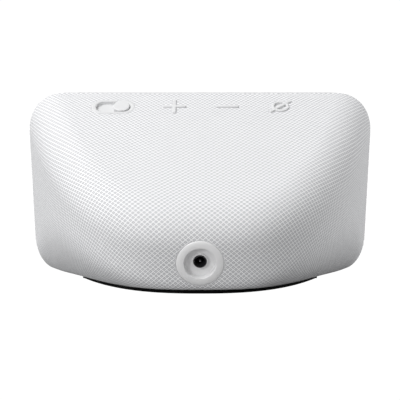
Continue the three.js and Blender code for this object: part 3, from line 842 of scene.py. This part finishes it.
def noise(tree, scale, detail=3.0, roughness=0.5, stretch=(1, 1, 1)):
    """Noise over the object's own metres; scale is in repeats per metre."""
    coords = tree.nodes.new("ShaderNodeTexCoord")
    mapping = tree.nodes.new("ShaderNodeMapping")
    mapping.inputs["Scale"].default_value = stretch
    tree.links.new(coords.outputs["Object"], mapping.inputs["Vector"])
    node = tree.nodes.new("ShaderNodeTexNoise")
    node.inputs["Scale"].default_value = scale
    node.inputs["Detail"].default_value = detail
    node.inputs["Roughness"].default_value = roughness
    tree.links.new(mapping.outputs["Vector"], node.inputs["Vector"])
    return node.outputs["Fac"]


def raise_bump(tree, shader, height, distance, strength=1.0):
    bump = tree.nodes.new("ShaderNodeBump")
    bump.inputs["Strength"].default_value = strength
    bump.inputs["Distance"].default_value = distance * MM
    tree.links.new(height, bump.inputs["Height"])
    tree.links.new(bump.outputs["Normal"], shader.inputs["Normal"])


# Dimple colours are painted shade in the gaps between the yarns: darkest beside the yarns, lighter in the
# dimples' middles.
YARN = (0.93, 0.932, 0.94, 1)
YARN_SHADE = (0.88, 0.884, 0.895, 1)
DIMPLE_PAINTED_SHADE = (0.47, 0.475, 0.49, 1)
DIMPLE_MIDDLE_PAINTED_SHADE = (0.73, 0.734, 0.75, 1)


def cloth_material():
    """A net of fine white yarns: two slanted sets cross over and under, with padded dimples between that are
    painted grey as shade, darkest beside the yarns and lighter in their middles.
    """
    made, tree, shader = new_material("woven_cloth", YARN[:3], 0.88)
    at = tree.nodes.new("ShaderNodeAttribute")
    at.attribute_name = "mesh_at"
    split = tree.nodes.new("ShaderNodeSeparateXYZ")
    tree.links.new(at.outputs["Vector"], split.inputs["Vector"])
    wave_a, wave_b = (maths(tree, "SINE", maths(tree, "MULTIPLY", split.outputs[k], math.pi)) for k in (0, 1))
    yarn_a = yarn_height(tree, wave_a, wave_b, 0.15)
    yarn_b = yarn_height(tree, wave_b, wave_a, -0.15)
    height = maths(tree, "MAXIMUM", yarn_a, yarn_b)
    gap_a = maths(tree, "SUBTRACT", 1.0, maths(tree, "ABSOLUTE", wave_a))
    gap_b = maths(tree, "SUBTRACT", 1.0, maths(tree, "ABSOLUTE", wave_b))
    pillow = maths(tree, "MULTIPLY", gap_a, gap_b)
    fuzz = noise(tree, 9000, 2.0)
    tone = noise(tree, 60, 3.0)
    yarn = blended(tree, tone, YARN, YARN_SHADE)
    # Painted shade: the dimples darken toward the yarns round them, and the weave's low places take the
    # dimple colour.
    dimple = blended(tree, between(tree, pillow, 0.1, 0.8), DIMPLE_PAINTED_SHADE, DIMPLE_MIDDLE_PAINTED_SHADE)
    colour = blended(tree, between(tree, height, 0.18, 0.55), dimple, yarn)
    tree.links.new(colour, shader.inputs["Base Color"])
    padded = maths(tree, "MULTIPLY_ADD", pillow, 0.35, height)
    raise_bump(tree, shader, maths(tree, "MULTIPLY_ADD", fuzz, 0.25, padded), 0.12, 0.5)
    shader.inputs["Sheen Weight"].default_value = 0.1
    shader.inputs["Sheen Roughness"].default_value = 0.5
    shader.inputs["Specular IOR Level"].default_value = 0.25
    return made


def yarn_height(tree, across, along, lift):
    """The height of one set of yarns: a narrow ridge that rises or dips where it passes the other set."""
    sway = maths(tree, "MULTIPLY", along, maths(tree, "SIGN", across))
    crown = maths(tree, "POWER", maths(tree, "ABSOLUTE", across), 9.0)
    return maths(tree, "MULTIPLY", crown, maths(tree, "MULTIPLY_ADD", sway, lift, 0.85))


def plastic(name, colour, roughness, grain=0.012, grain_scale=4200):
    """Moulded plastic with a fine spark-eroded grain and a slightly uneven gloss."""
    made, tree, shader = new_material(name, colour, roughness)
    grains = noise(tree, grain_scale, 3.0)
    patches = noise(tree, 90, 2.0)
    gloss = between(tree, patches, 0.2, 0.8, roughness - 0.05, roughness + 0.05)
    tree.links.new(gloss, shader.inputs["Roughness"])
    dim = tuple(c * 0.965 for c in colour)
    tree.links.new(blended(tree, patches, (*colour, 1), (*dim, 1)), shader.inputs["Base Color"])
    raise_bump(tree, shader, grains, grain)
    return made


def metal(name, colour, roughness, stretch=(1, 1, 1), scale=2500):
    """Metal whose gloss varies along fine scratches."""
    made, tree, shader = new_material(name, colour, roughness, 1.0)
    scratches = noise(tree, scale, 4.0, 0.6, stretch)
    low, high = roughness - 0.08, roughness + 0.1
    tree.links.new(between(tree, scratches, 0.3, 0.7, low, high), shader.inputs["Roughness"])
    raise_bump(tree, shader, scratches, 0.006)
    return made


def spot(tree, split, x, s, radius):
    """1 within a radius of a point on the glass, and 0 beyond it."""
    across = maths(tree, "SUBTRACT", split.outputs["X"], x * MM)
    rise = maths(tree, "SUBTRACT", split.outputs["Z"], from_screen(x, s, GLASS_SET_BACK)[2] * MM)
    up = maths(tree, "MULTIPLY", rise, 1 / math.cos(TILT))
    square = maths(tree, "MULTIPLY_ADD", up, up, maths(tree, "MULTIPLY", across, across))
    return between(tree, maths(tree, "SQRT", square), (radius - 0.08) * MM, (radius + 0.08) * MM, 1.0, 0.0)


def glass_front():
    """Black-bordered glass over a dark panel, with a ringed window for the camera and one for the sensor."""
    made, tree, shader = new_material("front_glass", (0.006, 0.006, 0.007), 0.05)
    coords = tree.nodes.new("ShaderNodeTexCoord")
    split = tree.nodes.new("ShaderNodeSeparateXYZ")
    tree.links.new(coords.outputs["Object"], split.inputs["Vector"])
    side = maths(tree, "ABSOLUTE", split.outputs["X"])
    middle = from_screen(0, LCD_S, 0)[2] * MM
    rise = maths(tree, "ABSOLUTE", maths(tree, "SUBTRACT", split.outputs["Z"], middle))
    inside_x = between(tree, side, (LCD_HALF_WIDTH - 0.3) * MM, LCD_HALF_WIDTH * MM, 1.0, 0.0)
    half = LCD_HALF_HEIGHT * math.cos(TILT)
    inside_z = between(tree, rise, (half - 1.3) * MM, (half - 1.0) * MM, 1.0, 0.0)
    field = maths(tree, "MULTIPLY", inside_x, inside_z)
    colour = blended(tree, field, (0.004, 0.004, 0.005, 1), (0.011, 0.012, 0.014, 1))
    for x, radius, shade in (
        (CAMERA_X, 2.6, (0.05, 0.05, 0.055, 1)),
        (CAMERA_X, 2.1, (0.002, 0.002, 0.003, 1)),
        (CAMERA_X, 1.1, (0.012, 0.016, 0.045, 1)),
        (SENSOR_X, 1.0, (0.03, 0.022, 0.026, 1)),
    ):
        colour = blended(tree, spot(tree, split, x, CAMERA_S, radius), colour, shade)
    tree.links.new(colour, shader.inputs["Base Color"])
    smear = noise(tree, 35, 3.0)
    tree.links.new(between(tree, smear, 0.35, 0.8, 0.03, 0.09), shader.inputs["Roughness"])
    shader.inputs["Coat Weight"].default_value = 0.4
    shader.inputs["Coat Roughness"].default_value = 0.03
    return made


def rubber():
    """Matt rubber with a pebbled skin."""
    made, tree, shader = new_material("foot_rubber", (0.004, 0.004, 0.0045), 0.85)
    pebbles = tree.nodes.new("ShaderNodeTexVoronoi")
    pebbles.inputs["Scale"].default_value = 1400
    coords = tree.nodes.new("ShaderNodeTexCoord")
    tree.links.new(coords.outputs["Object"], pebbles.inputs["Vector"])
    tree.links.new(between(tree, noise(tree, 70), 0.2, 0.8, 0.72, 0.86), shader.inputs["Roughness"])
    raise_bump(tree, shader, pebbles.outputs["Distance"], 0.05, 0.6)
    shader.inputs["Specular IOR Level"].default_value = 0.15
    return made


def circuit_board():
    """Green solder mask with the copper tracks showing faintly beneath it."""
    made, tree, shader = new_material("circuit_board", (0.02, 0.12, 0.06), 0.4)
    coords = tree.nodes.new("ShaderNodeTexCoord")
    tracks = tree.nodes.new("ShaderNodeTexBrick")
    tracks.inputs["Scale"].default_value = 260
    tracks.inputs["Mortar Size"].default_value = 0.03
    tracks.inputs["Color1"].default_value = (0.02, 0.13, 0.06, 1)
    tracks.inputs["Color2"].default_value = (0.015, 0.10, 0.05, 1)
    tracks.inputs["Mortar"].default_value = (0.04, 0.2, 0.09, 1)
    tree.links.new(coords.outputs["Object"], tracks.inputs["Vector"])
    tree.links.new(tracks.outputs["Color"], shader.inputs["Base Color"])
    return made


LIGHT_GREY = (0.72, 0.724, 0.73)
# The inlet's ring is the same light plastic; its lighter grey is painted light.
INLET_GREY_PAINTED_LIGHT = (0.84, 0.84, 0.845)


def finishes():
    """A material for each of the record's slots, and a lighter copy of the light plastic for the inlet's
    ring, with light painted into its colour.
    """
    return {
        "cloth": cloth_material(),
        "light_plastic": plastic("light_plastic", LIGHT_GREY, 0.5),
        "inlet_plastic_painted_light": plastic("inlet_plastic_painted_light", INLET_GREY_PAINTED_LIGHT, 0.42),
        "housing_plastic": plastic("housing_plastic", (0.62, 0.62, 0.63), 0.6),
        "black_plastic": plastic("black_plastic", (0.018, 0.018, 0.02), 0.42),
        "black_rubber": rubber(),
        "screen_glass": glass_front(),
        "lcd": plastic("panel", (0.015, 0.017, 0.022), 0.25, 0.002),
        "lens": metal("lens_coating", (0.03, 0.04, 0.09), 0.1),
        "steel": metal("plated_steel", (0.55, 0.56, 0.58), 0.3, (1, 1, 12)),
        "aluminium": metal("aluminium", (0.65, 0.66, 0.68), 0.42),
        "circuit_board": circuit_board(),
        "foam": plastic("foam", (0.03, 0.03, 0.03), 0.9, 0.08, 1500),
        "cone_paper": plastic("cone_paper", (0.03, 0.03, 0.035), 0.85, 0.05, 2200),
        "spider_cloth": plastic("spider_cloth", (0.42, 0.26, 0.1), 0.85, 0.06, 1800),
        "copper": metal("copper", (0.72, 0.38, 0.2), 0.3, (1, 1, 30)),
        "flex_film": plastic("flex_film", (0.42, 0.19, 0.03), 0.3, 0.004),
    }


# ---------- stage ----------


def softbox(name, at, aim, size, power):
    data = bpy.data.lights.new(name, "AREA")
    data.shape = "DISK"
    data.size = size
    data.energy = power
    lamp = bpy.data.objects.new(name, data)
    bpy.context.scene.collection.objects.link(lamp)
    lamp.location = at
    lamp.rotation_mode = "QUATERNION"
    lamp.rotation_quaternion = (Vector(aim) - Vector(at)).to_track_quat("-Z", "Y")


CAMERA_PLACE = (0, 0.483, 0.0468)
CAMERA_DROP = math.radians(1.31)
CAMERA_LENS = 104.3
AMBIENT = 0.53
STAGE_WHITE = 1.05
FLOOR_GREY = 0.31


def camera():
    data = bpy.data.cameras.new("camera")
    data.lens = CAMERA_LENS
    obj = bpy.data.objects.new("camera", data)
    bpy.context.scene.collection.objects.link(obj)
    obj.location = CAMERA_PLACE
    obj.rotation_euler = (math.pi / 2 - CAMERA_DROP, 0, math.pi)
    bpy.context.scene.camera = obj


def white_to_camera(tree, lit, plain):
    """Mixes a shader with plain white for what the camera sees straight, so that the stage is seamless."""
    path = tree.nodes.new("ShaderNodeLightPath")
    mix = tree.nodes.new("ShaderNodeMixShader")
    tree.links.new(path.outputs["Is Camera Ray"], mix.inputs[0])
    tree.links.new(lit, mix.inputs[1])
    tree.links.new(plain, mix.inputs[2])
    return mix.outputs[0]


def world():
    made = bpy.data.worlds.new("studio")
    made.use_nodes = True
    tree = made.node_tree
    ambient = tree.nodes["Background"]
    ambient.inputs["Color"].default_value = (1, 1, 1, 1)
    ambient.inputs["Strength"].default_value = AMBIENT
    seen = tree.nodes.new("ShaderNodeBackground")
    seen.inputs["Color"].default_value = (1, 1, 1, 1)
    seen.inputs["Strength"].default_value = STAGE_WHITE
    mixed = white_to_camera(tree, ambient.outputs[0], seen.outputs[0])
    tree.links.new(mixed, tree.nodes["World Output"].inputs["Surface"])
    bpy.context.scene.world = made


def floor():
    size = 6.0
    corners = [(-size, -size, 0), (size, -size, 0), (size, size, 0), (-size, size, 0)]
    obj = new_object("floor", corners, [(0, 1, 2, 3)])
    made, tree, shader = new_material("pale_floor", (FLOOR_GREY,) * 3, 0.9)
    seen = tree.nodes.new("ShaderNodeEmission")
    seen.inputs["Strength"].default_value = STAGE_WHITE
    mixed = white_to_camera(tree, shader.outputs[0], seen.outputs[0])
    tree.links.new(mixed, tree.nodes["Material Output"].inputs["Surface"])
    obj.data.materials.append(made)


def lights():
    """Soft lights: one high at +X, a small low one behind at +X, and one on the screen's side at -X."""
    aim = (0, 0, 0.04)
    softbox("key", (0.6, 0.42, 0.9), aim, 0.6, 7.9)
    softbox("side_key", (0.6, 0.92, 0.22), aim, 0.2, 3.0)
    softbox("front_key", (-0.9, -0.45, 0.4), aim, 0.5, 4.8)


# ---------- assembly ----------


def place(obj, made, slot_name, body, *nodes):
    """Gives a piece its material and body, and hides the CAD nodes that it stands for; its slot name is not
    used.
    """
    obj.data.materials.clear()
    obj.data.materials.append(made)
    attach(obj, body)
    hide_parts(*nodes)
    return obj


NODE_SLOTS = {
    "housing_plastic": ["rear_housing", "speaker_box"],
    "black_plastic": [
        "base_plate", "light_sensor", "camera_module", "shutter_blade", "shutter_link", "volume_up_switch",
        "volume_down_switch", "mute_switch", "power_cable", "speaker_basket",
    ],
    "black_rubber": ["surround"],
    "lcd": ["lcd_panel"],
    "lens": ["camera_lens"],
    "steel": [
        "display_tray", "processor_shield", "radio_shield", "volume_up_plunger", "volume_down_plunger",
        "mute_plunger", "microphone_left", "microphone_centre", "microphone_right", "speaker_magnet",
        *[f"{kind}_screw_{k}" for kind in ("board", "base") for k in range(1, 5)],
    ],
    "aluminium": ["heat_spreader"],
    "circuit_board": ["main_board", "button_board"],
    "foam": ["display_gasket", "speaker_gasket"],
    "cone_paper": ["speaker_cone", "dust_cap"],
    "spider_cloth": ["spider"],
    "copper": ["voice_coil"],
    "flex_film": ["display_flex", "antenna_left", "antenna_right"],
}


def finish_cad_nodes(finish):
    """Materials, chosen by slot, and smooth shading for the CAD nodes that stay in view or inside."""
    for slot_name, names in NODE_SLOTS.items():
        for name in names:
            obj = frame["nodes"][name]
            obj.data.materials.clear()
            obj.data.materials.append(finish[slot_name])
            shade_smooth(obj, 30)


def cloth_size(obj):
    """The flat cut's sides in metres and area in square metres, from the cloth's own courses and wales."""
    at = np.zeros(len(obj.data.vertices) * 3, np.float32)
    obj.data.attributes["mesh_at"].data.foreach_get("vector", at)
    a, b = at.reshape(-1, 3)[:, 0], at.reshape(-1, 3)[:, 1]
    u, v = (a + b) / 2 * COURSE, (a - b) / 2 * WALE
    faces = len(obj.data.polygons)
    width, length = float(np.ptp(u)) * MM, float(np.ptp(v)) * MM
    return width, length, faces * COURSE / 4 * WALE / 4 * 2 * MM ** 2


finish = finishes()
finish_cad_nodes(finish)
cover = place(woven_cover(), finish["cloth"], "cloth", "enclosure", "fabric_cover")
cloth_width, cloth_length, cloth_area = cloth_size(cover)
place(front_frame(), finish["light_plastic"], "light_plastic", "enclosure", "front_frame")
place(cover_glass(), finish["screen_glass"], "screen_glass", "enclosure", "cover_glass")
# Painted light: the inlet's ring takes a lighter copy of the light plastic.
place(port_ring(), finish["inlet_plastic_painted_light"], "light_plastic", "enclosure", "port_ring")
place(power_jack(), finish["black_plastic"], "black_plastic", "enclosure", "power_jack")
place(jack_pin(), finish["steel"], "steel", "enclosure", "jack_pin")
place(shutter_tray(), finish["light_plastic"], "light_plastic", "enclosure", "shutter_trim")
place(foot(), finish["black_rubber"], "black_rubber", "enclosure", "rubber_foot")
place(shutter_knob(), finish["light_plastic"], "light_plastic", "shutter", "shutter_knob")
place(plus_key(), finish["light_plastic"], "light_plastic", "volume_up", "volume_up_key")
place(minus_key(), finish["light_plastic"], "light_plastic", "volume_down", "volume_down_key")
place(mute_key(), finish["light_plastic"], "light_plastic", "mute", "mute_key")

floor()
lights()
world()
camera()
bpy.context.scene.view_settings.view_transform = "Standard"
